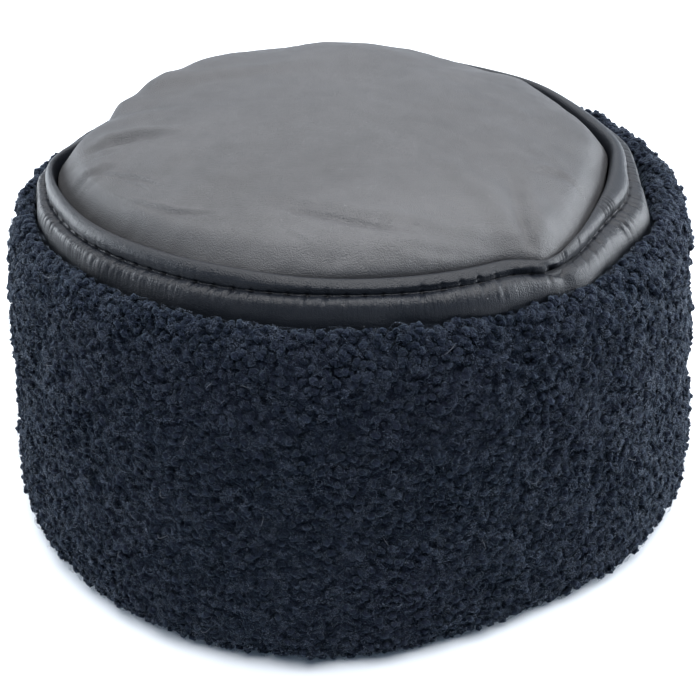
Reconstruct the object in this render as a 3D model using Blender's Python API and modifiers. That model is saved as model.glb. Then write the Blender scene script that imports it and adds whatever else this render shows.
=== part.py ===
"""A kubanka: a low oval hat with a curly fleece band and a soft leather crown.

Metres, +Z up, the front toward -Y and the long axis along X. The hat stands on its fleece band at z = 0,
with its box centred on the origin. Four pieces make it, from the outside in: the fleece, the hide that the
fleece grows on, the leather strip that closes in above the band, and the round leather panel on top.
"""

import bpy
import numpy as np

MM = 0.001

# Driving dimensions
BAND_TOP = 101.7 * MM        # where the fleece curls over into the crown
SEAM_HEIGHT = 109.4 * MM     # the groove between strip and panel
PANEL_RISE = 14.3 * MM       # how far the panel's middle stands over the groove
PANEL_FULLNESS = 0.6         # below 1 the panel rises steeply at its edge, like a cushion
LEATHER = 1.2 * MM
GAP = 0.3 * MM               # clearance between neighbouring pieces
ANGLES = 80                  # faces round each piece

# The soft hat leans: where its middle lies at the ground and at the band's top
LEAN_FOOT = np.array((-3.4, -2.5)) * MM
LEAN_TOP = np.array((-5.2, 4.5)) * MM

# Plan outlines about the middle, mm: angle in degrees, then the radius of the band near the ground, of the
# band at its top, of the fleece's inner edge, and of the seam round the panel
OUTLINES = (
    (0, 117.0, 105.0, 92.5, 78.6),
    (30, 112.0, 101.0, 89.5, 75.8),
    (60, 107.0, 96.0, 86.0, 74.2),
    (90, 104.5, 93.8, 85.5, 76.4),
    (120, 105.5, 92.6, 84.0, 75.6),
    (150, 107.5, 91.5, 81.2, 72.4),
    (180, 110.2, 98.2, 89.6, 80.2),
    (210, 109.4, 100.5, 92.0, 83.2),
    (240, 105.0, 97.5, 89.0, 79.8),
    (270, 101.2, 95.5, 88.0, 78.1),
    (300, 98.4, 97.5, 91.0, 79.8),
    (330, 109.0, 102.0, 92.0, 79.2),
)
FOOT, TOP, EDGE, SEAM = 1, 2, 3, 4

# Section of the fleece, mm: how far it stands off the band's outline, height. Up the outside and over
FLEECE_FOOT = 11.0 * MM
FLEECE_SHOULDER = 94.6 * MM
FLEECE_OUTSIDE = (
    (-9.6, 0.0),
    (-5.6, 0.0),
    (-2.7, 1.4),
    (-0.8, 5.0),
    (0.0, 11.0),
    (0.2, 19.0),
    (0.4, 28.0),
    (0.3, 37.0),
    (0.3, 46.5),
    (0.7, 56.0),
    (1.2, 65.0),
    (1.2, 74.0),
    (0.9, 82.0),
    (0.5, 89.0),
    (0.0, 94.6),
    (-2.2, 98.6),
    (-4.6, 100.0),
)
# Down the fleece's inside, mm: wall from the band's outline, height. Over EDGE_FOOT it is the inner edge
EDGE_FOOT = 86.0 * MM
FLEECE_INSIDE = (
    (10.0, 98.0),
    (10.0, 92.0),
    (10.0, 86.0),
    (11.4, 62.0),
    (12.0, 36.0),
    (11.8, 10.0),
    (11.6, 1.6),
)

# The curls stand in clumps: clumps round the band, clumps up the band, depth in mm
CLUMPS = (
    (17, 3.0, 0.35),
    (26, 5.0, 0.30),
)

# The hide backs the fleece: its thickness, and the heights where its section is taken, mm
HIDE = 2.2 * MM
HIDE_LEVELS = (2.0, 10.0, 36.0, 62.0, 86.0, 88.0)

# Section of the leather strip, mm: how far it lies from the seam toward the fleece's inner edge as a share,
# how far it stands off that line, height. Up the outside from inside the fleece, over the folded welt, down
# into the seam, then back down its inner side
STRIP_OUTSIDE = (
    (1.00, -0.3, 88.3),
    (1.00, -0.3, 94.0),
    (0.94, -0.3, 98.0),
    (0.80, -0.2, 101.6),
    (0.64, 0.0, 104.8),
    (0.52, 0.0, 107.0),
    (0.46, 0.0, 109.2),
    (0.32, 0.0, 110.6),
    (0.16, 0.0, 110.4),
    (0.05, 0.0, 109.2),
    (0.01, 0.0, 107.6),
    (0.00, 0.0, 104.8),
)
STRIP_INSIDE = (
    (0.00, 1.3, 104.8),
    (0.08, 1.3, 107.0),
    (0.30, 1.3, 105.6),
    (0.62, 0.0, 101.6),
    (0.78, -0.4, 97.6),
    (0.92, -1.1, 93.6),
    (1.00, -1.7, 88.3),
)

# Where strip and panel turn a soft corner: angle in degrees, width before and after it, reach in mm. A pucker
# juts out at the front right, and at the back left the seam is drawn in under the panel
CORNERS = (
    (307.0, 4.0, 9.0, 5.5),
    (176.0, 9.0, 7.0, -3.8),
)

# Soft folds of the panel: angle in degrees, width in degrees, where it is highest as a share of the
# radius, how far it runs in that share, height in mm
PANEL_FOLDS = (
    (91.0, 22.0, 0.62, 0.34, 2.8),
    (183.0, 5.0, 0.82, 0.26, 1.3),
    (170.0, 7.0, 0.90, 0.14, 2.8),
    (153.0, 9.0, 0.90, 0.16, 3.8),
    (137.0, 12.0, 0.85, 0.22, 3.8),
    (119.0, 12.0, 0.80, 0.26, 1.2),
    (72.0, 20.0, 0.80, 0.30, 0.8),
    (48.0, 7.0, 0.92, 0.16, -0.9),
    (215.0, 12.0, 0.86, 0.18, -0.7),
    (332.0, 14.0, 0.84, 0.22, 0.8),
)
PANEL_SHARES = (0.14, 0.30, 0.47, 0.63, 0.77, 0.88, 0.96)
PANEL_TUCK = 3.4 * MM        # the panel's edge turns down into the seam
PANEL_INSET = 0.45 * MM      # from the seam's outline to the panel's turned edge


def angles():
    return np.linspace(0.0, 2.0 * np.pi, ANGLES, endpoint=False)


def bell(x, middle, width):
    return np.exp(-(((x - middle) / width) ** 2))


def degrees_between(angle, middle):
    """Signed degrees from a middle direction to an angle, in -180 to 180."""
    return (np.degrees(angle) - middle + 180.0) % 360.0 - 180.0


def lean(height):
    """Where the hat's middle lies at a height."""
    share = np.asarray(height)[..., None] / BAND_TOP
    return LEAN_FOOT + (LEAN_TOP - LEAN_FOOT) * share


def place(angle, radius, height):
    """Points from angle, radius and height about the leaning middle."""
    middle = lean(height)
    x = middle[..., 0] + radius * np.cos(angle)
    y = middle[..., 1] + radius * np.sin(angle)
    return np.stack((x, y, height), axis=-1)


def corners(angle):
    """How far the seam's soft corners reach out or in."""
    reaches = 0.0
    for at, before, after, reach in CORNERS:
        past = degrees_between(angle, at)
        reaches = reaches + reach * MM * bell(past, 0.0, np.where(past < 0, before, after))
    return reaches


def outline(angle, column):
    """A closed smooth curve through one column of the outline table."""
    radii = np.array(OUTLINES)[:, column] * MM
    steps = len(radii)
    turn = np.degrees(angle) % 360.0 / 360.0 * steps
    first = np.floor(turn).astype(int)
    t = turn - first
    before, here, after, later = (radii[(first + k) % steps] for k in (-1, 0, 1, 2))
    slope = after - before
    bend = 2 * before - 5 * here + 4 * after - later
    twist = 3 * (here - after) + later - before
    return here + 0.5 * t * (slope + t * (bend + t * twist))


def seam_radius(angle):
    return outline(angle, SEAM) + corners(angle)


def band_radius(angle, height):
    """The band's outline at a height, between the one near the ground and the one at the top."""
    share = np.clip((height - FLEECE_FOOT) / (FLEECE_SHOULDER - FLEECE_FOOT), 0.0, 1.0)
    return (1 - share) * outline(angle, FOOT) + share * outline(angle, TOP)


def inner_radius(angle, wall, height):
    """The fleece's inside: a wall's depth in from the band, and at the top the inner edge's own outline."""
    share = np.clip(height / EDGE_FOOT, 0.0, 1.0) ** 2
    return (1 - share) * (band_radius(angle, height) - wall) + share * outline(angle, EDGE)


def columns(rows):
    """A table in metres, each of its columns as a column of points."""
    return (np.array(rows) * MM).T[:, :, None]


def fleece_points():
    angle = angles()[None, :]
    stand_off, height = columns(FLEECE_OUTSIDE)
    clumps = sum(
        depth * MM * np.sin(count * angle + 2.4 * up) * np.sin(np.pi * up * height / BAND_TOP)
        for count, up, depth in CLUMPS
    )
    outside = place(angle, band_radius(angle, height) + stand_off + clumps, height + 0 * angle)
    wall, height = columns(FLEECE_INSIDE)
    inside = place(angle, inner_radius(angle, wall, height), height + 0 * angle)
    return np.concatenate((outside, inside))


def hide_points():
    """The hide lies against the fleece's inside, one gap clear of it."""
    angle = angles()[None, :]
    wall, height = columns(FLEECE_INSIDE)
    levels = np.array(HIDE_LEVELS)[:, None] * MM
    depth = np.interp(levels, height[::-1, 0], wall[::-1, 0])
    outside = place(angle, inner_radius(angle, depth, levels) - GAP, levels + 0 * angle)
    levels, depth = levels[::-1], depth[::-1]
    inside = place(angle, inner_radius(angle, depth, levels) - GAP - HIDE, levels + 0 * angle)
    return np.concatenate((outside, inside))


def strip_points():
    """The strip closes in from the fleece's inner edge to the seam."""
    angle = angles()[None, :]
    share, stand_off, height = columns(STRIP_OUTSIDE + STRIP_INSIDE)
    share = share / MM
    radius = (1 - share) * seam_radius(angle) + share * outline(angle, EDGE) + stand_off
    return place(angle, radius, height + 0 * angle)


def panel_height(angle, share):
    """The panel's height over the seam: a cushioned dome with soft folds."""
    dome = PANEL_RISE * (1 - share**2) ** PANEL_FULLNESS
    folds = sum(
        tall * MM * bell(degrees_between(angle, at), 0.0, width) * bell(share, top, run)
        for at, width, top, run, tall in PANEL_FOLDS
    )
    return dome + folds * np.clip((1 - share) / 0.06, 0.0, 1.0)


def ring_of_sections(name, points):
    """A closed section carried all the way round: points[i, j] is section point i at angle j."""
    rows, around = points.shape[:2]
    i, j = np.meshgrid(np.arange(rows), np.arange(around), indexing="ij")
    below, beside = (i + 1) % rows, (j + 1) % around
    quads = np.stack((i, i, below, below), axis=-1) * around + np.stack((j, beside, beside, j), axis=-1)
    mesh = bpy.data.meshes.new(name)
    mesh.from_pydata(points.reshape(-1, 3).tolist(), [], quads.reshape(-1, 4).tolist())
    return mesh


def panel_mesh(name):
    """An open disc of rings about a middle point, whose rim turns down into the seam."""
    angle = angles()[None, :]
    share = np.array(PANEL_SHARES)[:, None]
    edge = seam_radius(angle) - PANEL_INSET
    top = place(angle, edge * share, SEAM_HEIGHT + panel_height(angle, share))
    rim = place(angle, edge, np.full_like(angle, SEAM_HEIGHT))
    tuck = place(angle, edge, np.full_like(angle, SEAM_HEIGHT - PANEL_TUCK))
    middle = place(np.zeros(1), np.zeros(1), np.array([SEAM_HEIGHT + PANEL_RISE]))
    points = np.concatenate((middle, top.reshape(-1, 3), rim[0], tuck[0]))
    first = 1 + np.arange(ANGLES)
    after = np.roll(first, -1)
    faces = [(0, a, b) for a, b in zip(first.tolist(), after.tolist())]
    for ring in range(len(PANEL_SHARES) + 1):
        near, far = ring * ANGLES, (ring + 1) * ANGLES
        faces += [
            (a + near, a + far, b + far, b + near) for a, b in zip(first.tolist(), after.tolist())
        ]
    mesh = bpy.data.meshes.new(name)
    mesh.from_pydata(points.tolist(), [], faces)
    return mesh


def material(name, colour, roughness):
    made = bpy.data.materials.new(name)
    made.use_nodes = True
    shader = made.node_tree.nodes["Principled BSDF"]
    shader.inputs["Base Color"].default_value = (*colour, 1.0)
    shader.inputs["Roughness"].default_value = roughness
    shader.inputs["Metallic"].default_value = 0.0
    made.diffuse_color = (*colour, 1.0)
    return made


def add_piece(name, mesh, finish, collection):
    mesh.shade_smooth()
    mesh.materials.append(finish)
    piece = bpy.data.objects.new(name, mesh)
    collection.objects.link(piece)
    return piece


def add_panel(collection, finish):
    panel = add_piece("crown_panel", panel_mesh("crown_panel"), finish, collection)
    wall = panel.modifiers.new("Leather", "SOLIDIFY")
    wall.thickness = LEATHER
    wall.offset = -1.0
    return panel


def main():
    for old in list(bpy.data.objects):
        bpy.data.objects.remove(old, do_unlink=True)
    collection = bpy.data.collections.new("kubanka")
    bpy.context.scene.collection.children.link(collection)
    leather = material("black_leather", (0.045, 0.046, 0.050), 0.45)
    strip_leather = material("black_strip_leather", (0.040, 0.041, 0.045), 0.42)
    fleece = material("black_fleece", (0.012, 0.014, 0.020), 0.95)
    hide = material("charcoal_hide", (0.060, 0.058, 0.060), 0.90)
    add_piece("fleece_band", ring_of_sections("fleece_band", fleece_points()), fleece, collection)
    add_piece("band_hide", ring_of_sections("band_hide", hide_points()), hide, collection)
    add_piece("crown_side_strip", ring_of_sections("crown_side_strip", strip_points()), strip_leather, collection)
    add_panel(collection, leather)


main()
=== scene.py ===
# %% [markdown]
# A kubanka, dressed: a low oval hat with a wall of curly sheepskin, a strip of soft black leather that
# closes in above it, and a domed leather top set into a topstitched welt. The construction is already there
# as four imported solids. This lesson lays the visible surface over them: creased leather, a stitched fold,
# thousands of small curls. Everything is in metres, +Z is up, and the hat stands on z = 0.

import math
from collections import namedtuple

import bpy
import numpy as np
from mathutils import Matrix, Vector


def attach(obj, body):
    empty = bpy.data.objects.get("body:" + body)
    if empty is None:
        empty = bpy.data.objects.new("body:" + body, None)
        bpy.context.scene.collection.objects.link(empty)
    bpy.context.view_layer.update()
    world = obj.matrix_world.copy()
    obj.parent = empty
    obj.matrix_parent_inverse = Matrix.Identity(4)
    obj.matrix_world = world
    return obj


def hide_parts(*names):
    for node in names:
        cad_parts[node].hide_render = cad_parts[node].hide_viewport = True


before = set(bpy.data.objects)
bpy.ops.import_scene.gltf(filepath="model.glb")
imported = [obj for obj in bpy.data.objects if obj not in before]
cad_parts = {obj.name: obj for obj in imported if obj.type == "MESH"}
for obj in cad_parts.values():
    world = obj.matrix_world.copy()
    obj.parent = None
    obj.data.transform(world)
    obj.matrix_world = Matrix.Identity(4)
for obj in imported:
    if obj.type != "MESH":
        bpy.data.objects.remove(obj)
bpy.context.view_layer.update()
MM = 0.001
TURN = 2.0 * math.pi
print("nodes:", sorted(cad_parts))

# %% [markdown]
# The camera stands where the photographer stood: in front of the hat and above it, looking down by about 35
# degrees. From further back with a longer lens the oval of the crown would look flatter, so the distance
# matters as much as the angle. The lens is worked out from a focal length in pixels.

# %% Camera
PICTURE = 700       # pixels each way
FOCAL_PIXELS = 1100.0
CAMERA_PLACE = (-0.0026, -0.3032, 0.2485)
LOOK_DOWN = math.radians(34.894)
SENSOR = 36.0       # width of the sensor in mm


def put(name, data):
    """A new object that shows the data, linked to the scene."""
    thing = bpy.data.objects.new(name, data)
    bpy.context.scene.collection.objects.link(thing)
    return thing


def add_camera():
    data = bpy.data.cameras.new("camera")
    data.sensor_width = SENSOR
    data.lens = FOCAL_PIXELS / PICTURE * SENSOR
    data.clip_start = 0.01
    camera = put("camera", data)
    camera.location = CAMERA_PLACE
    camera.rotation_euler = (math.radians(90) - LOOK_DOWN, 0, 0)
    bpy.context.scene.camera = camera
    return camera


print("lens:", round(add_camera().data.lens, 1), "mm")

# %% [markdown]
# Black things show by what they reflect, so a black hat is lit with large pale surfaces and not with small
# bright lamps. One wide softbox behind the hat and one over it are mirrored in the crown and give the
# leather its grey bloom. Two smaller ones, low at the sides and a little behind, draw the band's edges. The
# front stays dark, and a faint bluish sky fills the shadows.

# %% Floor, sky and softboxes
FLOOR_SIZE = 8.0
FLOOR_COLOUR = (0.80, 0.83, 0.87, 1)
SKY = (0.56, 0.76, 1)
SKY_STRENGTH = 0.35
# name, place, what it faces, width and height, power in watts, colour
SOFTBOXES = (
    ("back", (-0.05, 1.10, 0.80), (0, 0, 0.10), (2, 0.9), 9.3, (1, 0.99, 0.985)),
    ("overhead", (0.04, 0.01, 1.20), (0, 0, 0.10), (1.3, 1.3), 35.5, (1, 0.99, 0.985)),
    ("left_side", (-1.05, 0.42, 0.26), (0, 0, 0.06), (0.7, 0.5), 14.5, (0.90, 0.95, 1)),
    ("right_side", (1.05, 0.30, 0.32), (0, 0, 0.06), (0.7, 0.6), 20, (0.92, 0.96, 1)),
)


def add_softbox(name, stands_at, looks_at, size, power, colour):
    """An area lamp of a width and height, turned so that its face looks at a point."""
    data = bpy.data.lights.new(name, "AREA")
    data.shape = "RECTANGLE"
    data.size, data.size_y = size
    data.energy = power
    data.color = colour
    lamp = put(name, data)
    lamp.location = stands_at
    along = Vector(looks_at) - Vector(stands_at)
    lamp.rotation_euler = along.to_track_quat("-Z", "Y").to_euler()
    return lamp


def add_sky():
    world = bpy.data.worlds.new("sky")
    world.use_nodes = True
    background = world.node_tree.nodes["Background"]
    background.inputs["Color"].default_value = (*SKY, 1)
    background.inputs["Strength"].default_value = SKY_STRENGTH
    bpy.context.scene.world = world


def add_floor():
    half = FLOOR_SIZE / 2
    mesh = bpy.data.meshes.new("floor")
    corners = [(-half, -half, 0), (half, -half, 0), (half, half, 0), (-half, half, 0)]
    mesh.from_pydata(corners, [], [(0, 1, 2, 3)])
    paint = bpy.data.materials.new("floor_paint")
    paint.use_nodes = True
    shader = paint.node_tree.nodes["Principled BSDF"]
    shader.inputs["Base Color"].default_value = FLOOR_COLOUR
    shader.inputs["Roughness"].default_value = 0.8
    mesh.materials.append(paint)
    put("floor", mesh)


add_sky()
add_floor()
lamps = [add_softbox(*row) for row in SOFTBOXES]
bpy.context.scene.view_settings.view_transform = "Standard"
print("softboxes:", [lamp.name for lamp in lamps])

# %% [markdown]
# Every piece of the hat goes round the same middle, so one small language of shapes serves them all. An
# outline is a radius for every direction: a closed smooth curve through twelve radii. A soft hat leans, so
# the middle moves with the height. A point of any piece is then an angle, a radius and a height.

# %% The plan of the hat
BAND_TOP = 101.7 * MM
LEAN_FOOT = np.array((-3.4, -2.5)) * MM
LEAN_TOP = np.array((-5.2, 4.5)) * MM

# Radii every 30 degrees, starting at +X and turning toward the back, mm
BAND_FOOT_RADII = (117, 112, 107, 104.5, 105.5, 107.5, 110.2, 109.4, 105, 100.9, 98.9, 109.7)
BAND_TOP_RADII = (105, 101, 96, 93.8, 92.6, 91.5, 98.2, 100.5, 97.5, 95.5, 97.5, 102)
FLEECE_EDGE_RADII = (92.5, 89.5, 86, 85.5, 84, 81.2, 89.6, 92, 89, 88, 91, 92)
SEAM_RADII = (78.6, 75.8, 74.2, 76.4, 75.6, 72.4, 80.2, 83.2, 79.8, 78.1, 79.8, 79.2)

# Soft corners of the seam: angle, width before and after it in degrees, reach in mm
CORNERS = ((307, 4, 17, 6.6), (191, 6, 12, 2.4), (176, 9, 7, -3.8), (358, 8, 8, 1.6), (36, 12, 12, 2.2))
# and of the edge where the strip meets the fleece
EDGE_CORNERS = ((312, 7, 7, 2.2), (337, 6, 7, 2.2), (352, 7, 8, -2.2))


def bell(x, middle, width):
    """A smooth hump: e to the power of minus the squared distance from the middle, in widths."""
    return np.exp(-(((x - middle) / width) ** 2))


def ease(x, start, end):
    """A smooth step from 0 at start to 1 at end: 3t squared minus 2t cubed."""
    t = np.clip((x - start) / (end - start), 0, 1)
    return t * t * (3 - 2 * t)


def degrees_between(angle, middle):
    """Signed degrees from a middle direction to an angle, in -180 to 180."""
    return (np.degrees(angle) - middle + 180) % 360 - 180


def toward(angle, middle, width):
    """A smooth hump round the hat: 1 in a direction, fading over a width in degrees to both sides."""
    return bell(degrees_between(angle, middle), 0, width)


def between(angle, start, rise, end, fall):
    """A smooth plateau round the hat, which rises from a start and falls again from an end, in degrees."""
    risen = ease(degrees_between(angle, start), 0, rise)
    return risen * (1 - ease(degrees_between(angle, end), 0, fall))


def through(rows, t):
    """A smooth curve through each of the rows: a cubic whose slope at a row joins its neighbours."""
    rows = np.asarray(rows, dtype=float)
    t = np.asarray(t, dtype=float)
    first = np.clip(np.floor(t).astype(int), 0, len(rows) - 2)
    share = (t - first).reshape(t.shape + (1,) * (rows.ndim - 1))
    before = rows[np.maximum(first - 1, 0)]
    here, after = rows[first], rows[first + 1]
    later = rows[np.minimum(first + 2, len(rows) - 1)]
    slope = after - before
    bend = 2 * before - 5 * here + 4 * after - later
    twist = 3 * (here - after) + later - before
    return here + 0.5 * share * (slope + share * (bend + share * twist))


def outline(angle, radii):
    """A closed smooth curve through radii that are spread evenly round the turn."""
    wrapped = (radii[-1],) + tuple(radii) + tuple(radii[:2])
    return through(wrapped, np.degrees(angle) % 360 / 360 * len(radii) + 1) * MM


def place(angle, radius, height):
    """Points from angle, radius and height: the middle, which leans, plus radius times (cosine, sine)."""
    height = height + 0.0 * (angle + radius)
    middle = LEAN_FOOT + (LEAN_TOP - LEAN_FOOT) * (height[..., None] / BAND_TOP)
    x = middle[..., 0] + radius * np.cos(angle)
    y = middle[..., 1] + radius * np.sin(angle)
    return np.stack((x, y, height), axis=-1)


def cornered(angle, radii, corners):
    """An outline with its soft corners drawn out or in."""
    reach = 0.0
    for at, before, after, far in corners:
        past = degrees_between(angle, at)
        reach = reach + far * MM * bell(past, 0, np.where(past < 0, before, after))
    return outline(angle, radii) + reach


def seam_radius(angle):
    return cornered(angle, SEAM_RADII, CORNERS)


def edge_radius(angle):
    return cornered(angle, FLEECE_EDGE_RADII, EDGE_CORNERS)


def turn(columns):
    """Evenly spread angles as one row of a grid."""
    return np.linspace(0, TURN, columns, endpoint=False)[None, :]


print("seam is", round(float(seam_radius(turn(360)).mean() * 2000)), "mm across")

# %% [markdown]
# A surface here is a grid of points: rows run along a section, columns run round the hat. The grid gives
# the faces, each between two rows and two columns, and the surface's own direction at every point, from the
# differences between neighbours. Folds and grooves come from pushing points along that direction.

# %% Grids, meshes and smooth noise
def grid_faces(rows, columns, closed=False):
    """Corners of the faces of a grid that closes round its columns, and its rows too when it is closed."""
    i, j = np.meshgrid(np.arange(rows if closed else rows - 1), np.arange(columns), indexing="ij")
    above, beside = (i + 1) % rows, (j + 1) % columns
    corners = (i * columns + j, i * columns + beside, above * columns + beside, above * columns + j)
    return np.stack(corners, axis=-1).reshape(-1, 4)


def fan_faces(ring, middle):
    """Triangles that close a ring of points onto a middle point."""
    return np.stack((ring, np.roll(ring, -1), np.full_like(ring, middle)), axis=-1)


def unit(vectors):
    """The vectors scaled to a length of one."""
    return vectors / np.maximum(np.linalg.norm(vectors, axis=-1, keepdims=True), 1e-12)


def facing(points):
    """Unit normals of a grid: the step to the next column crossed with the step to the next row."""
    round_step = np.roll(points, -1, axis=1) - np.roll(points, 1, axis=1)
    return unit(np.cross(round_step, np.gradient(points, axis=0)))


def pushed(points, amount):
    """The grid with every point moved along its own normal."""
    return points + facing(points) * amount[..., None]


def waves(points, size, seed, count=24):
    """Smooth noise between about -1 and 1: sine waves of one size, in random directions, added up."""
    random = np.random.default_rng(seed)
    directions = unit(random.normal(size=(count, 3)))
    steps = TURN / size * random.uniform(0.6, 1.5, count)
    phases = random.uniform(0, TURN, count)
    total = np.zeros(points.shape[:-1])
    for direction, step, phase in zip(directions, steps, phases):
        total += np.sin(points @ direction * step + phase)
    return total / math.sqrt(count)


def swells(points, rows):
    """Waves added up, in mm; each row is a height in mm, a size in mm and a seed."""
    return sum(tall * waves(points, size * MM, seed) for tall, size, seed in rows)


def add_piece(name, points, faces, finish):
    """A mesh of points and faces, shaded smooth, with its finish, riding on the hat."""
    mesh = bpy.data.meshes.new(name)
    mesh.from_pydata(points.reshape(-1, 3).tolist(), [], faces)
    mesh.shade_smooth()
    mesh.materials.append(finish)
    piece = put(name, mesh)
    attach(piece, "root")
    print(name, len(mesh.vertices), "points", sum(len(face) - 2 for face in faces), "triangles")
    return piece


def set_numbers(piece, **numbers):
    """Numbers for each point, which a finish reads by name."""
    for name, values in numbers.items():
        layer = piece.data.attributes.new(name, "FLOAT", "POINT")
        layer.data.foreach_set("value", np.asarray(values, dtype=np.float32).ravel())


print("a grid of 3 rows and 4 columns has", len(grid_faces(3, 4)), "faces")

# %% [markdown]
# A finish is a Principled shader with patterns in front of it. Writing its formulas as node trees by hand
# is slow, so a small class wraps a node's output: adding or multiplying two of them adds a Math node. Every
# other node comes from one method, which sets the node up first and then feeds its sockets.

# %% A small language for finishes
MIX_FIRST, MIX_SECOND, MIX_RESULT = 6, 7, 2     # the colour sockets of a Mix node


class Value:
    """The output of a node. Arithmetic on it adds Math nodes."""

    def __init__(self, finish, socket):
        self.finish, self.socket = finish, socket

    def __add__(self, other):
        return self.finish.math("ADD", self, other)

    def __sub__(self, other):
        return self.finish.math("SUBTRACT", self, other)

    def __mul__(self, other):
        return self.finish.math("MULTIPLY", self, other)

    __radd__ = __add__


class Finish:
    """A material whose nodes are added one call at a time."""

    def __init__(self, name):
        self.material = bpy.data.materials.new(name)
        self.material.use_nodes = True
        self.tree = self.material.node_tree
        self.shader = self.tree.nodes["Principled BSDF"]

    def add(self, kind, settings=None, inputs=None, output=0):
        """A new node: its settings first, then its sockets' values or links. Gives one of its outputs."""
        node = self.tree.nodes.new(kind)
        for name, value in (settings or {}).items():
            setattr(node, name, value)
        for name, value in (inputs or {}).items():
            self.feed(node.inputs[name], value)
        return Value(self, node.outputs[output])

    def feed(self, socket, value):
        if isinstance(value, Value):
            self.tree.links.new(value.socket, socket)
        else:
            socket.default_value = value

    def math(self, operation, *values):
        return self.add("ShaderNodeMath", {"operation": operation}, dict(enumerate(values)))

    def mix(self, share, first, second):
        """A colour between two, by a share."""
        sockets = {0: share, MIX_FIRST: first, MIX_SECOND: second}
        return self.add("ShaderNodeMix", {"data_type": "RGBA"}, sockets, MIX_RESULT)

    def place(self):
        return self.add("ShaderNodeTexCoord", output="Object")

    def attribute(self, name):
        return self.add("ShaderNodeAttribute", {"attribute_name": name}, output="Fac")

    def noise(self, scale, detail=2, roughness=0.5, vector=None):
        inputs = {"Vector": vector or self.place(), "Scale": scale, "Detail": detail, "Roughness": roughness}
        return self.add("ShaderNodeTexNoise", {}, inputs, "Fac")

    def cells(self, feature, spacing, **more):
        """Distances in a Voronoi pattern whose cells stand a spacing in metres apart."""
        inputs = {"Vector": self.place(), "Scale": 1.0 / spacing, "Randomness": 1, **more}
        return self.add("ShaderNodeTexVoronoi", {"feature": feature}, inputs, "Distance")

    def fibres(self, scale, distortion, detail_scale):
        """Threads that wind round each other like wool: diagonal waves, bent by much distortion."""
        settings = {"wave_type": "BANDS", "bands_direction": "DIAGONAL"}
        inputs = {"Vector": self.place(), "Scale": scale, "Distortion": distortion, "Detail": 2.0}
        return self.add("ShaderNodeTexWave", settings, {**inputs, "Detail Scale": detail_scale}, "Fac")

    def step(self, value, start, end, top=1, kind="SMOOTHSTEP"):
        """0 at a start, a top value at an end, and level outside them."""
        inputs = {"Value": value, "From Min": start, "From Max": end, "To Max": top}
        return self.add("ShaderNodeMapRange", {"interpolation_type": kind}, inputs)

    def bump(self, height, distance, below=None):
        inputs = {"Height": height, "Distance": distance}
        if below is not None:
            inputs["Normal"] = below
        return self.add("ShaderNodeBump", {}, inputs, "Normal")

    def shade(self, **sockets):
        """Feed the shader's sockets; an underscore in a name stands for a space."""
        for name, value in sockets.items():
            self.feed(self.shader.inputs[name.replace("_", " ")], value)
        return self.material


print("a Mix node's colours go to sockets", MIX_FIRST, "and", MIX_SECOND)

# %% [markdown]
# Soft glove leather is almost black, and what one sees is its satin surface, with a grain of fine pebbles a
# third of a millimetre across and about a tenth deep. Cells from a Voronoi pattern make the pebbles, finer
# noise breaks them up, and slow noise lets the shine wander, as handled leather does. A number at each
# point dulls the leather above zero and polishes it below. It also darkens the colour above zero as painted
# shade and lightens it below zero as painted light. Noise stretched along the strip's folds raises the
# finest gathers as bump, and a few specks of dust lie about.

# %% Leather
DUST_SPACING = 5.2 * MM
DUST_EDGE, DUST_CORE = 0.045, 0.020     # of the spacing: where a speck begins and where it is full
DUST_COLOUR = (0.22, 0.22, 0.23, 1)


def leather(name, dark, pale, pebble, depth, roughness, gloss, folds=0):
    """Black leather, with the size and depth of its pebbles and the depth of its finest folds in metres."""
    finish = Finish(name)
    pebbles = finish.cells("SMOOTH_F1", pebble, Smoothness=0.6)
    fine = finish.noise(3.2 / pebble)
    slow = finish.noise(28, 3)
    cloud = finish.noise(160, 3)
    normal = finish.bump(pebbles * -1.0 + fine * 0.55, depth)
    matt = finish.attribute("matt")
    shine = roughness - 0.10 + cloud * 0.10 + slow * 0.10 + matt * 0.40
    if folds:
        axes = {axis: finish.attribute(way) for axis, way in (("X", "east"), ("Y", "north"), ("Z", "down"))}
        along = finish.add("ShaderNodeCombineXYZ", {}, axes, "Vector")
        streaks = finish.noise(1, 2, 0.55, along)
        strength = finish.attribute("gathered")
        normal = finish.bump(streaks * strength, folds, below=normal)
        shine = shine + (streaks - 0.5) * strength * 0.5
    # The number read above also darkens the colour above zero, as painted shade, and lightens it below zero,
    # as painted light.
    tone = slow * 0.70 + cloud * 0.50 + pebbles * 0.35 + fine * 0.30 - 0.38 - matt * 0.5
    clean = finish.mix(tone, dark, pale)
    dust = finish.step(finish.cells("F1", DUST_SPACING), DUST_EDGE, DUST_CORE, 0.6, kind="LINEAR")
    colour = finish.mix(dust, clean, DUST_COLOUR)
    return finish.shade(Base_Color=colour, Roughness=shine, Normal=normal, Specular_IOR_Level=gloss)


# One black leather in two copies: the crown's colours are paler, as painted light on the top that faces the
# softboxes, and the strip's are darker and bluer, as painted shade.
CROWN_COLOURS_PAINTED_LIGHT = ((0.018, 0.018, 0.0195, 1), (0.068, 0.068, 0.072, 1))
STRIP_COLOURS_PAINTED_SHADE = ((0.0025, 0.0036, 0.0065, 1), (0.009, 0.011, 0.0155, 1))
crown_leather = leather("crown_leather", *CROWN_COLOURS_PAINTED_LIGHT, 0.36 * MM, 0.15 * MM, 0.50, 0.37)
strip_leather = leather("strip_leather", *STRIP_COLOURS_PAINTED_SHADE, 0.34 * MM, 0.11 * MM, 0.37, 0.26, 0.75 * MM)
print("leathers:", crown_leather.name, strip_leather.name)
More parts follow.
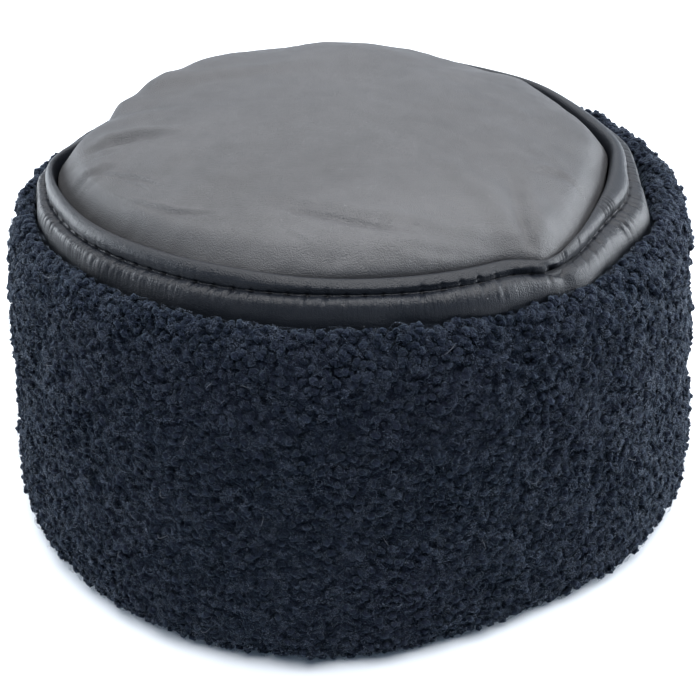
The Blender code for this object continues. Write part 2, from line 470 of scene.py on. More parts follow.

# %% [markdown]
# The crown panel is a round of leather that stands up in a dome. It rises steeply from the seam and goes
# flat over the middle, which (1 - share squared) to a power of about one half gives; share runs from 0 in
# the middle to 1 at the seam. At the front the power is lower and the dome plumper. Soft folds are wide
# humps and hollows. Creases are thin: the leather sinks along a line of a few given points on the plan
# and rises in a lip beside it. The edge turns down into the seam.

# %% The crown panel's relief
SEAM_HEIGHT = 109.4 * MM
PANEL_RISE = 14.3 * MM
PANEL_FULLNESS = 0.6
PANEL_INSET = 0.45 * MM
PANEL_TUCK = 3.4 * MM
PANEL_ROLL = 4.6 * MM        # how much deeper the rim drops where the leather rolls over
PANEL_WALL = 1.2 * MM
PANEL_COLUMNS = 440
PANEL_SHARES = np.concatenate(       # of the radius, from the rim to just short of the middle
    (1 - 0.10 * np.linspace(0, 1, 16) ** 2, np.linspace(0.892, 0.50, 50), np.linspace(0.46, 0.03, 9))
)
PANEL_DENSER = 0.45          # by how much the columns close up at the front and spread at the back
PANEL_SWELLS = ((0.22, 22, 11), (0.07, 7, 12))      # height in mm, size in mm, seed
PANEL_PUCKERS = ((0.10, 4.2, 13),)
# stretches of the rim: direction and width in degrees
RIM_FRONT_LEFT = (214, 38)
RIM_FRONT = (280, 26)
RIM_RIGHT = (350, 38)
# where the rim is painted darker as painted shade and made rougher, and where the front is painted lighter
# as painted light and made glossier
RIM_MATT_PAINTED_SHADE = (212, 32)
RIM_GLOSSY_PAINTED_LIGHT = (280, 42)

# angle, width in degrees, where it is highest as a share of the radius, its run in that share, height in mm
PANEL_FOLDS = (
    (91, 22, 0.62, 0.34, 2.8),
    (183, 5, 0.82, 0.26, 1.3),
    (170, 7, 0.90, 0.14, 2.8),
    (153, 9, 0.90, 0.16, 3.8),
    (137, 12, 0.85, 0.22, 3.8),
    (119, 12, 0.80, 0.26, 1.2),
    (72, 20, 0.80, 0.30, 0.8),
    (48, 7, 0.92, 0.16, -0.9),
    (215, 12, 0.86, 0.18, -0.7),
    (332, 14, 0.84, 0.22, 0.8),
    (196, 3.2, 0.86, 0.16, -0.7),
    (191, 2.6, 0.80, 0.18, 0.5),
    (204, 3, 0.93, 0.10, 0.4),
    (311, 5, 0.92, 0.10, 0.8),
    (322, 9, 0.90, 0.12, 0.9),
    (353, 12, 0.90, 0.12, 0.9),
)

# plan points in mm, half width, depth of the valley, height of the lip beside it
PANEL_CREASES = (
    (((-80, -17), (-76, -15.5), (-70, -12.5), (-62, -12), (-50, -14)), 1.9, 1.08, 0.94),
    (((-84, -16), (-78, -19), (-72, -19), (-66, -18)), 1.3, 0.74, 0.41),
    (((-73, -27.5), (-66, -31), (-62, -33), (-57, -36), (-52, -41)), 0.7, 0.59, 0.32),
    (((-69, -31), (-64, -34), (-59, -37.5), (-55, -42)), 0.7, 0.35, 0.22),
    (((-82, -27), (-77, -29), (-72, -28), (-67, -26)), 1.4, 0.81, 0.46),
    (((-77, -32), (-73, -32), (-69, -30)), 1.6, 0.47, 0.27),
    (((-68, -39), (-62, -44), (-58, -46), (-53, -49), (-47, -52), (-42, -53), (-36, -54)), 0.7, 0.62, 0.35),
    (((-55, -50), (-48, -54), (-40, -56), (-32, -57)), 1.6, 0.24, 0.19),
    (((-30, -51), (-19, -53), (-12, -56), (-3, -59), (5, -61), (14, -63), (26, -65)), 2.4, 0.49, 0.41),
    (((-21, -53), (-12, -56), (-3, -59), (5, -61), (14, -63)), 0.6, 0.54, 0.19),
    (((2, -57), (12, -60), (22, -61.5), (33, -62)), 1.8, 0.30, 0.27),
    (((-66, 25), (-50, 28), (-30, 31), (-9, 31)), 3.2, 0.57, 0.59),
    (((40, -32), (40, -44), (40.5, -53), (42, -60), (44, -65)), 3, 1.35, 0.68),
    (((41, -52), (42, -59), (44, -64)), 1, 0.54, 0.22),
    (((46, -33), (50, -31), (54, -31), (58, -33), (62, -36)), 1.5, 0.81, 0.46),
    (((-19, -62), (-16, -64), (-12, -67)), 0.8, 0.30, 0.16),
    (((8, -66), (20, -67), (31, -66)), 1.2, 0.27, 0.22),
)


def crease(points, line, width, valley, lip):
    """A thin fold along a line: a valley on it and a lip beside it, both fading out at the line's ends."""
    ends = np.array(line) * MM
    lengths = np.linalg.norm(np.diff(ends, axis=0), axis=1)
    starts = np.concatenate(([0.0], np.cumsum(lengths)))
    steps = np.diff(ends, axis=0) / lengths[:, None]
    off = points[..., None, :2] - ends[:-1]
    run = np.clip((off * steps).sum(axis=-1), 0, lengths)
    off = off - run[..., None] * steps
    far = np.hypot(off[..., 0], off[..., 1])
    side = np.sign(steps[:, 0] * off[..., 1] - steps[:, 1] * off[..., 0])
    nearest = np.argmin(far, axis=-1)[..., None]
    across = np.take_along_axis(side * far, nearest, axis=-1)[..., 0] / (width * MM)
    along = np.take_along_axis(starts[:-1] + run, nearest, axis=-1)[..., 0] / starts[-1]
    fade = np.sin(np.pi * np.clip(along, 0, 1)) ** 0.7
    return MM * fade * (lip * bell(across, 1.7, 1.1) - valley * bell(across, 0, 1))


def panel_height(angle, share):
    """Over the seam: rise times (1 - share squared) to the fullness, plus folds, less the rim's roll."""
    front_left, front = toward(angle, *RIM_FRONT_LEFT), toward(angle, *RIM_FRONT)
    right = toward(angle, *RIM_RIGHT)
    dome = PANEL_RISE * np.maximum(1 - share**2, 0) ** (PANEL_FULLNESS - 0.13 * front_left - 0.16 * front)
    folds = 0.0
    for at, width, top, run, tall in PANEL_FOLDS:
        folds = folds + tall * MM * toward(angle, at, width) * bell(share, top, run)
    roll = PANEL_ROLL * (front_left + 0.45 * right + 0.12 * front) * ease(share, 0.910, 1)
    return dome + folds * np.clip((1 - share) / 0.06, 0, 1) - roll


def panel_points(angle):
    """Rows from the turned-down edge up over the rim to just short of the middle."""
    share = PANEL_SHARES[:, None]
    edge = seam_radius(angle) - PANEL_INSET
    top = place(angle, edge * share, SEAM_HEIGHT + panel_height(angle, share))
    relief = sum(crease(top, *row) for row in PANEL_CREASES)
    quiet = ease(1 - share, 0, 0.04)
    relief = (relief + MM * swells(top, PANEL_SWELLS)) * quiet
    puckers = MM * swells(top * (1, 1, 0.2), PANEL_PUCKERS) * bell(share, 0.985, 0.035)
    top[..., 2] += relief + puckers * ease(1 - share, 0, 0.01)
    rim_height = top[:1, :, 2]
    tuck = place(angle, edge, rim_height - PANEL_TUCK * np.array([[1.0], [0.66], [0.33]]))
    return np.concatenate((tuck, top))


print("panel rises", round(float(panel_height(0, 0) / MM), 1), "mm over the seam")


# %% The crown panel
def add_panel():
    even = turn(PANEL_COLUMNS)
    angle = even - PANEL_DENSER * np.cos(even)
    points = panel_points(angle)
    rows, columns = points.shape[:2]
    middle = points[-1].mean(axis=0)
    last_ring = np.arange((rows - 1) * columns, rows * columns)
    faces = grid_faces(rows, columns).tolist() + fan_faces(last_ring, rows * columns).tolist()
    points = np.concatenate((points.reshape(-1, 3), middle[None]))
    panel = add_piece("crown_panel_leather", points, faces, crown_leather)
    share = np.concatenate((np.ones(3), PANEL_SHARES))[:, None]
    # Painted shade: the rim is darker and rougher near the seam, most at the front left. Painted light: the
    # front is lighter and glossier.
    matt = bell(share, 1, 0.060) * (0.08 + 0.92 * toward(angle, *RIM_MATT_PAINTED_SHADE))
    glossy_painted_light = 0.55 * bell(share, 0.88, 0.16) * toward(angle, *RIM_GLOSSY_PAINTED_LIGHT)
    set_numbers(panel, matt=np.append(matt - glossy_painted_light, 0))
    wall = panel.modifiers.new("wall", "SOLIDIFY")
    wall.thickness = PANEL_WALL
    wall.offset = -1.0
    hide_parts("crown_panel")


add_panel()

# %% [markdown]
# The strip closes the gap between fleece and seam. Its section rises out of the fleece, is pinched by a
# line of topstitching, folds over in a soft welt and dives into the seam. Carrying that section round gives
# the bare form. Handwork shows in a groove that deepens at every needle hole, puckers that run down from
# each hole and fine gathers where a long strip was eased onto a shorter seam. At a corner at the front
# right the strip rolls up, is tucked and laps over itself.

# %% The strip's section and its needlework
STRIP_COLUMNS = 1440
STITCH_ROW = 5.0             # where on the section the stitches run, counted in its rows
STITCH_PITCH = 4.75 * MM
CORNER = 307.0               # direction of the corner at the front right, in degrees
# how much narrower the welt is by direction in degrees, as a share: the corner pinches it, then it widens
WELT_ANGLES = (0, 20, 228, 268, 304, 311, 320, 332, 345, 352)
WELT_NARROWER = (-0.06, 0, 0, 0.13, 0.16, 0.44, 0.38, 0.16, -0.12, -0.14)
# share of the way from seam to fleece, stand-off in mm, height in mm
STRIP_OUTSIDE = (
    (1.00, -0.3, 88.3), (1.00, -0.3, 94), (0.96, -0.1, 98.4), (0.88, 0.1, 102.6), (0.70, 0.3, 105.7),
    (0.45, 0, 106.8),    # the line of stitches
    (0.40, 0, 108.9), (0.28, 0, 110.4), (0.13, 0, 111), (0.04, 0, 110.2),    # the welt
    (0.01, 0, 107.8), (0.00, 0, 104.8),    # down in the seam
)
STRIP_INSIDE = (
    (0.00, 1.3, 104.8), (0.08, 1.3, 107), (0.30, 1.3, 105.6), (0.62, 0, 101.6),
    (0.78, -0.4, 97.6), (0.92, -1.1, 93.6), (1.00, -1.7, 88.3),
)
# first row, last row, how many: dense below the stitches and on their line
STRIP_STRETCHES = ((0, 2, 3), (2.4, 4.4, 9), (4.55, 4.73, 3), (4.79, 5.27, 9), (5.4, 5.8, 3), (6.1, 11, 12))
STRIP_ROWS = np.concatenate([np.linspace(*stretch) for stretch in STRIP_STRETCHES])


def section_points(angle, section):
    """Points of a section: its share of the way from the seam to the fleece's edge, plus its stand-off."""
    share, stand_off, height = (section * (1, MM, MM)).T[..., None]
    narrower = np.interp(np.degrees(angle), WELT_ANGLES, WELT_NARROWER, period=360)
    height = height - 1.2 * MM * between(angle, 246, 26, 309, 6) * ease(height, 107.6 * MM, 110.6 * MM)
    share = share * (1 - narrower * (1 - ease(share, 0.45, 0.95)))
    sunk = 3.2 * MM * toward(angle, 156, 20) * ease(height, 103 * MM, 109 * MM)
    radius = (1 - share) * seam_radius(angle) + share * edge_radius(angle) + stand_off
    return place(angle, radius, height - sunk)


def stitch_phase(angle):
    """Stitches before each angle, which is the line's length so far over the pitch, and how many in all."""
    line = section_points(angle, through(STRIP_OUTSIDE, [STITCH_ROW]))[0]
    steps = np.linalg.norm(np.roll(line, -1, axis=0) - line, axis=1)
    so_far = np.concatenate(([0.0], np.cumsum(steps)))
    count = round(so_far[-1] / STITCH_PITCH)
    return so_far[:-1] / so_far[-1] * count, count


def comb(along, power):
    """Narrow teeth at the whole numbers: the cosine of pi times the way along, to an even power."""
    return np.cos(np.pi * along) ** power


def pleats(angle, pitch, seed):
    """Sharp little valleys round the strip at an uneven pitch in degrees: 1 in a valley, 0 between."""
    round_way = np.stack((np.cos(angle), np.sin(angle), 0.0 * angle), axis=-1)
    wander = 0.9 * waves(round_way, 0.16, seed) + 0.35 * waves(round_way, 0.05, seed + 1)
    return comb(np.degrees(angle) / pitch + wander, 10)


def stitch_line(angle, row, along):
    """The groove and its needle holes, and the leather that bulges below it, in mm."""
    on_left = toward(angle, 220, 30)
    groove = (0.42 + 0.16 * on_left) * bell(row, STITCH_ROW, 0.15)
    holes = (0.66 + 0.10 * on_left) * comb(along, 20) * bell(row, STITCH_ROW, 0.19)
    return (0.25 + 0.75 * between(angle, 250, 16, 300, 6)) * bell(row, 4.2, 0.55) - groove - holes


def puckers(angle, row, along, points):
    """Creases that run down at a slant from the needle holes, and short ones up the welt, in mm."""
    strength = np.clip(0.9 + 0.7 * waves(points * (1, 1, 0), 16 * MM, 22), 0.2, 2)
    slant = along + 0.22 * (STITCH_ROW - row)
    below = 0.14 * comb(slant + 0.20, 10) - 0.34 * comb(slant, 12) - 0.14 * comb(slant * 2 + 0.3, 8)
    above = (0.13 + 0.45 * toward(angle, 290, 14)) * comb(along, 12)
    return strength * (below * bell(row, 4.40, 0.55) - above * bell(row, 5.7, 0.5))


def gathers(angle, row):
    """Upright folds at the left, in two sizes, in mm."""
    wide = 0.13 * pleats(angle, 2.6, 25) * bell(row, 4.2, 0.8)
    narrow = 0.10 * pleats(angle, 1.3, 27) * bell(row, 4, 1.1)
    return -(wide + narrow) * between(angle, 186, 10, 241, 26)


def corner_folds(angle, row):
    """The roll up to the corner, the valley and the tuck past it, and the lap on the welt, in mm."""
    past = degrees_between(angle, CORNER)
    roll = 2.4 * bell(past, -12, 11) * bell(row, 3.5, 1) * (1 - ease(past, -4, 0.8))
    valley = 0.8 * bell(past, 1.5, 1.7) * bell(row, 3.9, 1.1)
    tuck = 1.3 * bell(past + 0.9 * (row - 5), 0.6, 0.9) * bell(row, 5.2, 0.9)
    return roll - valley - tuck + 0.5 * bell(past, -3, 2.4) * bell(row, 6.2, 1)


def right_wrinkles(angle, row, points):
    """Past the corner: a rucked welt and small wrinkles below it, in mm."""
    right = toward(angle, 326, 12)
    rucked = (toward(angle, 313, 3) + toward(angle, 330, 3.5)) * pleats(angle, 2.1, 29)
    sharp = 0.45 * toward(angle, 330, 4) * pleats(angle, 1.25, 32) * bell(row, 3.9, 0.9)
    soft = 0.11 * right * waves(points * (1, 1, 2), 3.5 * MM, 34) * bell(row, 3.8, 1.2)
    return (0.40 * right - 0.80 * rucked) * bell(row, 6.4, 1.1) - sharp + soft


def needlework(angle, row, points):
    """Relief of the strip in metres: stitches, folds and wrinkles, and a slow drift of the leather."""
    along = stitch_phase(angle)[0][None, :] + 0.08 * waves(points, 30 * MM, 21)
    drift = 0.30 * waves(points, 20 * MM, 24) * bell(row, 3.8, 1.8)
    sewn = stitch_line(angle, row, along) + puckers(angle, row, along, points) + gathers(angle, row)
    return MM * (sewn + corner_folds(angle, row) + right_wrinkles(angle, row, points) + drift)


print("stitches round the welt:", stitch_phase(turn(STRIP_COLUMNS))[1])


# %% The strip
GATHERS_ROUND = 66.0         # the finest gathers: this many to one radian round the hat
GATHERS_DOWN = 0.55          # and to one row of the section
INSIDE_AS_ROW = 2.0          # the row whose finish the inner side takes


def gathered(angle, row):
    """How strongly the finest gathers show: most on the left and at the front, below the stitches."""
    round_way = 0.15 + 0.85 * between(angle, 186, 10, 245, 26) + 1.2 * toward(angle, 282, 15)
    return round_way * bell(row, 4.1, 0.85) + 0.30 * bell(row, 6.2, 0.7)


def add_strip():
    """The closed section carried round, with the numbers that its finish reads."""
    angle = turn(STRIP_COLUMNS)
    row = STRIP_ROWS[:, None]
    outside = section_points(angle, through(STRIP_OUTSIDE, STRIP_ROWS))
    outside = pushed(outside, needlework(angle, row, outside) * ease(row, 1.2, 2.6))
    points = np.concatenate((outside, section_points(angle, np.array(STRIP_INSIDE))))
    rows, columns = points.shape[:2]
    faces = grid_faces(rows, columns, closed=True).tolist()
    strip = add_piece("crown_strip_leather", points, faces, strip_leather)
    inside = np.full((rows - len(row), 1), INSIDE_AS_ROW)
    row = np.concatenate((row, inside)) + 0.0 * angle
    east, north = GATHERS_ROUND * np.cos(angle) + 0.0 * row, GATHERS_ROUND * np.sin(angle) + 0.0 * row
    # Painted shade and light in the colour: darker and rougher low down by the fleece and at the left front,
    # lighter and glossier on the ledge at the front and on the facets at the right.
    rough_painted_shade = 0.30 * bell(row, 2.4, 1.1) + 0.30 * toward(angle, 232, 26) * bell(row, 3.2, 1)
    glossy_painted_highlight_front = 0.30 * toward(angle, 288, 20) * bell(row, 4.3, 0.7)
    glossy_painted_light_right = 0.25 * toward(angle, 330, 16) * bell(row, 3.8, 1.2)
    set_numbers(strip, east=east, north=north, down=GATHERS_DOWN * row)
    set_numbers(strip, gathered=gathered(angle, row), matt=rough_painted_shade - glossy_painted_highlight_front - glossy_painted_light_right)
    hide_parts("crown_side_strip")
    return outside


strip_surface = add_strip()

# %% [markdown]
# Topstitching is thread, so it is modelled as thread: a short round bar for each stitch, which lies in the
# groove and dips into a needle hole at both ends. All the stitches are one mesh, made from one array with
# an axis for the stitch, one for the steps along it and one for the points round it.

# %% Topstitching
THREAD = 0.21 * MM           # radius
THREAD_SUNK, THREAD_ARCH = 0.36, 0.38     # mm: depth at the holes, rise in the middle of a stitch
STITCH_START, STITCH_SPAN = 0.12, 0.76    # of the pitch
STITCH_STEPS = 8
THREAD_SIDES = 6


def thread_finish():
    finish = Finish("waxed_thread")
    twist = finish.noise(4200, 1)
    normal = finish.bump(twist, 0.06 * MM)
    colour = finish.mix(twist, (0.003, 0.003, 0.005, 1), (0.012, 0.013, 0.016, 1))
    return finish.shade(Base_Color=colour, Roughness=0.65, Normal=normal)


def tubes(paths, radius, sides):
    """Round bars along many paths at once: paths[n, k] is step k of path n, radius[k] its radius there."""
    count, steps = paths.shape[:2]
    along = unit(np.gradient(paths, axis=1))
    across = unit(np.cross(along, (0, 0, 1)))
    over = np.cross(across, along)
    angle = turn(sides).T
    spread = np.cos(angle) * across[:, :, None] + np.sin(angle) * over[:, :, None]
    rings = paths[:, :, None] + spread * np.reshape(radius, (1, steps, 1, 1))
    ends = np.stack((paths[:, 0], paths[:, -1]), axis=1)
    points = np.concatenate((rings.reshape(count, -1, 3), ends), axis=1)
    body = grid_faces(steps, sides)[:, ::-1]
    first = np.arange(sides)
    start_cap = fan_faces(first, steps * sides)
    end_cap = fan_faces(first + (steps - 1) * sides, steps * sides + 1)[:, ::-1]
    shift = np.arange(count)[:, None, None] * points.shape[1]
    faces = (body + shift).reshape(-1, 4).tolist()
    faces += (np.concatenate((start_cap, end_cap)) + shift).reshape(-1, 3).tolist()
    return points, faces


def add_topstitching(surface):
    """Each stitch follows the groove from hole to hole, highest in its middle."""
    phase, count = stitch_phase(turn(STRIP_COLUMNS))
    groove_row = int(np.argmin(np.abs(STRIP_ROWS - STITCH_ROW)))
    line = surface[groove_row]
    away = facing(surface)[groove_row]
    share = np.linspace(0, 1, STITCH_STEPS)
    wanted = np.arange(count)[:, None] + STITCH_START + STITCH_SPAN * share[None, :] + 0.5
    known = np.concatenate((phase - count, phase, phase + count))

    def at_steps(values):
        return np.stack([np.interp(wanted, known, np.tile(values[:, k], 3)) for k in range(3)], axis=-1)

    rise = (THREAD_ARCH * np.sin(np.pi * share) ** 0.6 - THREAD_SUNK) * MM
    path = at_steps(line) + at_steps(away) * rise[None, :, None]
    radius = THREAD * np.array([0.75] + [1.0] * (STITCH_STEPS - 2) + [0.75])
    points, faces = tubes(path, radius, THREAD_SIDES)
    add_piece("welt_topstitching", points, faces, thread_finish())


add_topstitching(strip_surface)

# %% [markdown]
# Under the curls lies the body of the fleece: a thick wall that follows the band's outline, rounds over at
# the foot and at the shoulder, and sinks in behind the leather. Slow noise swells and hollows it, as use
# does to such a hat, and a few deeper hollows notch its outline at the sides and at the back.

# %% The fleece's section and its swells
CURL_REACH = 1.5 * MM        # how far the body stays inside the band's outline, to leave room for the curls
FLEECE_FOOT = 11.0 * MM
FLEECE_SHOULDER = 94.6 * MM
EDGE_FOOT = 86.0 * MM
# share of the way from the band's outline to the fleece's inner edge, stand-off in mm, height in mm
FLEECE_OUTSIDE = (
    (0, -10.5, 0.9), (0, -6, 0.9), (0, -3.2, 2.2), (0, -1.2, 5.6), (0, -0.3, 11),
    (0, 0, 19), (0, 0.2, 28), (0, 0.1, 37), (0, 0.1, 46.5), (0, 0.5, 56),
    (0, 1, 65), (0, 1, 74), (0, 0.7, 82), (0, 0.3, 89), (0, -0.6, 94.6),
    (0.05, -2.2, 98.6), (0.35, -2.2, 100.9), (0.70, -0.8, 100.4), (1, 0.9, 97.6), (1, 0.3, 92),
)
LAST_ROW = len(FLEECE_OUTSIDE) - 1.0
CURLED_ROWS = 17.7           # how far along the section the curls go
FLEECE_SWELLS = ((0.45, 17, 31), (0.45, 6, 32))     # height in mm, size in mm, seed
# wall from the band's outline in mm, height in mm
FLEECE_INSIDE = ((10, 86), (11.4, 62), (12, 36), (11.8, 10), (11.6, 2))
# hollows in the band: angle, width in degrees, height, its run, depth in mm
HOLLOWS = (
    (356, 9, 44, 4.5, 2.8),
    (354, 9, 75, 4.5, 3.2),
    (4, 4, 24, 5, 0.8),
    (186, 4, 70, 6, 0.8),
    (166, 12, 94, 12, 3.2),
)


def band_radius(angle, height):
    """The band's outline at a height, between the one near the ground and the one at the top."""
    share = np.clip((height - FLEECE_FOOT) / (FLEECE_SHOULDER - FLEECE_FOOT), 0, 1)
    return (1 - share) * outline(angle, BAND_FOOT_RADII) + share * outline(angle, BAND_TOP_RADII)


def section_row_length():
    """How far along the bare section each of its rows lies."""
    row = np.linspace(0, LAST_ROW, 400)
    points = bare_fleece(np.zeros_like(row), row)
    steps = np.linalg.norm(np.diff(points, axis=0), axis=1)
    return row, np.concatenate(([0.0], np.cumsum(steps)))


def bare_fleece(angle, row):
    """The smooth outer side at any angle and any place along the section."""
    share, stand_off, height = np.moveaxis(through(FLEECE_OUTSIDE, row), -1, 0)
    height = height * MM + 0.0 * angle
    radius = (1 - share) * band_radius(angle, height) + share * edge_radius(angle)
    return place(angle, radius + (stand_off * MM) - CURL_REACH * (1 - share), height)


def swell_height(angle, row, points):
    """How far the body stands out, in metres: slow swells less the hollows."""
    swell = swells(points, FLEECE_SWELLS)
    height = points[..., 2] / MM
    for at, width, tall, run, depth in HOLLOWS:
        swell = swell - depth * toward(angle, at, width) * bell(height, tall, run)
    return MM * swell * (0.25 + 0.75 * ease(row, 1.5, 4)) * (1 - 0.6 * ease(row, 16.5, 18))


def fleece_surface(angle, row):
    """The outer side with its swells, pushed out from the hat's middle and, on the top, upward."""
    points = bare_fleece(angle, row)
    lean_up = ease(row, 14, 17) + 0.0 * angle
    flat = np.cos(0.5 * np.pi * lean_up)
    away = np.stack((flat * np.cos(angle), flat * np.sin(angle), np.sin(0.5 * np.pi * lean_up)), axis=-1)
    raised = points + away * swell_height(angle, row, points)[..., None]
    raised[..., 2] = np.maximum(raised[..., 2], 0.1 * MM)
    return raised


def fleece_inside(angle):
    """The side against the hide: a wall's depth in from the band, easing into the inner edge's outline."""
    wall, height = (np.array(FLEECE_INSIDE) * MM).T[:, :, None]
    share = np.clip(height / EDGE_FOOT, 0, 1) ** 2
    inner = band_radius(angle, height) - wall
    return place(angle, (1 - share) * inner + share * edge_radius(angle), height)


print("the fleece's section is", round(float(section_row_length()[1][-1] / MM)), "mm long")

# %% [markdown]
# Fleece is matt: light goes in between the fibres and does not come out, and only the tops of the curls
# catch some. The colour is a bluish black with warmer and cooler patches. Each point carries two numbers:
# the tone of its curl, and tip for how far it stands out. The colour is lighter where tip is higher, which
# is painted shade at the roots and painted light on the tops. The finest fibres are bump: bands of a wave
# pattern, bent until they wind round each other like wool. Voronoi cells bunch them into knots, and the
# colour is darker in the sunken gaps between them, as painted shade.

# %% Fleece finish
SKY_TINT = (0.60, 0.80, 1, 1)
KNOT_SPACING = 2.3 * MM
# dark and light, of the cool patches and of the warm ones
COOL_FLEECE = ((0.0016, 0.0028, 0.0062, 1), (0.0160, 0.0242, 0.0435, 1))
WARM_FLEECE = ((0.0026, 0.0027, 0.0058, 1), (0.0225, 0.0228, 0.0385, 1))


def fleece_finish():
    finish = Finish("curly_fleece")
    tone, tip = finish.attribute("tone"), finish.attribute("tip")
    patches = finish.noise(38)
    grit = finish.noise(2600, 2, 0.7)
    winding = finish.fibres(330, 12, 2)
    knot = finish.step(finish.cells("DISTANCE_TO_EDGE", KNOT_SPACING), 0, 0.28)
    normal = finish.bump(knot + winding * 0.45 + grit * 0.35, 0.42 * MM)
    # Painted shade and light: darker at the curls' roots and in the gaps between knots, lighter toward the
    # tops.
    lightness = tip * 0.22 + tone * 0.14 + knot * 0.16 + grit * 0.95 + winding * 0.28 + patches * 0.30 - 0.79
    level = finish.add("ShaderNodeClamp", {}, {"Value": lightness}, "Result")
    colour = finish.mix(patches, finish.mix(level, *COOL_FLEECE), finish.mix(level, *WARM_FLEECE))
    finish.shade(Specular_IOR_Level=0.08, Specular_Tint=SKY_TINT)
    finish.shade(Sheen_Weight=0.08, Sheen_Roughness=0.5, Sheen_Tint=SKY_TINT)
    return finish.shade(Base_Color=colour, Roughness=0.95, Normal=normal)


fleece = fleece_finish()
print("fleece finish:", len(fleece.node_tree.nodes), "nodes")


# %% The fleece's body
FLEECE_COLUMNS = 360
FLEECE_ROWS = 76


def add_fleece_body():
    angle = turn(FLEECE_COLUMNS)
    row = np.linspace(0, LAST_ROW, FLEECE_ROWS)[:, None]
    points = np.concatenate((fleece_surface(angle, row), fleece_inside(angle)))
    rows, columns = points.shape[:2]
    faces = grid_faces(rows, columns, closed=True).tolist()
    body = add_piece("fleece_body", points, faces, fleece)
    # The body gets about the tip of a curl's root, so it is painted in the shade between the curls.
    middling = np.full(rows * columns, 0.4)
    set_numbers(body, tone=middling, tip=middling)
    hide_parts("fleece_band")


add_fleece_body()

# %% [markdown]
# A curl is a thick lock of wool bent into part of a ring. It leaves the body, arches over and comes back,
# so it reads as a round knot about three millimetres across. Its path is part of a circle in a plane turned
# and tilted at random. One stands near each point of a shaken grid, which covers the band evenly and still
# looks grown. More crowd the shoulder, and thin loops of the same form blur the outline. Each quarter of
# the hat is one mesh, from one array: curl by curl, step by step.

# %% Curls and loops
CURL_SPACING = 2.4 * MM
LOOPS = 2000
SHOULDER_CURLS = 1300
QUARTERS = 4
MEAN_RADIUS = 104.0 * MM
# sides, radius at each step along it in mm, bend in degrees, radius of the bend in mm
Lock = namedtuple("Lock", "sides thickness bends radii")
CURL = Lock(5, (0.70, 1.05, 1.00, 0.60), (120, 240), (0.60, 1.10))
LOOP = Lock(3, (0.12, 0.12, 0.11, 0.06), (120, 270), (0.90, 1.60))


def frames_at(angle, row):
    """Place, outward direction and two directions along the surface, at each curl."""
    here = fleece_surface(angle, row)
    low, high = np.maximum(row - 0.15, 0), np.minimum(row + 0.15, LAST_ROW)
    round_way = bare_fleece(angle + 0.01, row) - bare_fleece(angle - 0.01, row)
    up_way = bare_fleece(angle, high) - bare_fleece(angle, low)
    out, side = unit(np.cross(round_way, up_way)), unit(round_way)
    return here, out, side, np.cross(out, side)


def drawing(random, count):
    """A function that draws a number between two limits for each of so many paths."""

    def vary(low, high):
        return random.uniform(low, high, count)[:, None, None]

    return vary


def turned(side, up, way):
    """Two directions along the surface, turned together by an angle."""
    return side * np.cos(way) + up * np.sin(way), up * np.cos(way) - side * np.sin(way)


def curl_paths(frames, lock, random):
    """Arcs: radius times (1 - cos) along the surface plus radius times sin along a tilted way outward."""
    here, out, side, up = (v[:, None, :] for v in frames)
    vary = drawing(random, len(here))
    way, tilt = vary(0, TURN), np.radians(vary(-70, 70))
    along, across = turned(side, up, way)
    over = out * np.cos(tilt) + across * np.sin(tilt)
    bend = np.radians(vary(*lock.bends)) * np.linspace(0, 1, len(lock.thickness))[None, :, None]
    radius = vary(*lock.radii) * MM
    start = here + out * vary(-0.8, 0.2) * MM
    return start + radius * (along * (1 - np.cos(bend)) + over * np.sin(bend))


def add_curls(name, angle, row, lock, random, painted_highlight=0):
    """One mesh of curls, darker at the root as painted shade: tip grows by a half with each mm that a point
    stands out.
    """
    frames = frames_at(angle, row)
    points, faces = tubes(curl_paths(frames, lock, random), np.array(lock.thickness) * MM, lock.sides)
    points[..., 2] = np.maximum(points[..., 2], 0.05 * MM)
    curls = add_piece(name, points, faces, fleece)
    here, out = frames[0][:, None], frames[1][:, None]
    # A lower tip darkens the colour as painted shade; the thin loops get a higher tip, a painted highlight.
    tip = 0.4 + painted_highlight + 0.5 * ((points - here) * out).sum(axis=-1) / MM
    set_numbers(curls, tip=tip, tone=np.repeat(random.uniform(0, 1, len(angle)), points.shape[1]))


def shaken_grid(random):
    """Angles and rows of a grid over the band, each point moved about within its own square."""
    rows, lengths = section_row_length()
    tall = np.interp(CURLED_ROWS, rows, lengths)
    columns, lines = round(TURN * MEAN_RADIUS / CURL_SPACING), round(tall / CURL_SPACING)
    i, j = np.meshgrid(np.arange(columns), np.arange(lines))
    angle = (i + 0.5 * (j % 2) + random.uniform(0, 0.75, i.shape)) / columns * TURN
    row = np.interp((j + random.uniform(0, 0.75, i.shape)) / lines * tall, lengths, rows)
    return angle.ravel() % TURN, row.ravel()


def add_fleece_curls():
    random = np.random.default_rng(41)
    rows, lengths = section_row_length()
    angle, row = shaken_grid(random)
    shoulder_angle = random.uniform(0, TURN, SHOULDER_CURLS)
    shoulder_row = random.uniform(13, 16.2, SHOULDER_CURLS)
    loop_angle = random.uniform(0, TURN, LOOPS)
    loop_row = np.interp(random.uniform(0, np.interp(CURLED_ROWS, rows, lengths), LOOPS), lengths, rows)
    for number in range(QUARTERS):
        chosen = (angle / TURN * QUARTERS).astype(int) == number
        add_curls(f"fleece_curls_{number + 1}", angle[chosen], row[chosen], CURL, random)
    add_curls("fleece_shoulder_curls", shoulder_angle, shoulder_row, CURL, random)
    # The thin loops are painted paler, as a painted highlight on fibres that catch the light.
    add_curls("fleece_loops", loop_angle, loop_row, LOOP, random, painted_highlight=1)


add_fleece_curls()

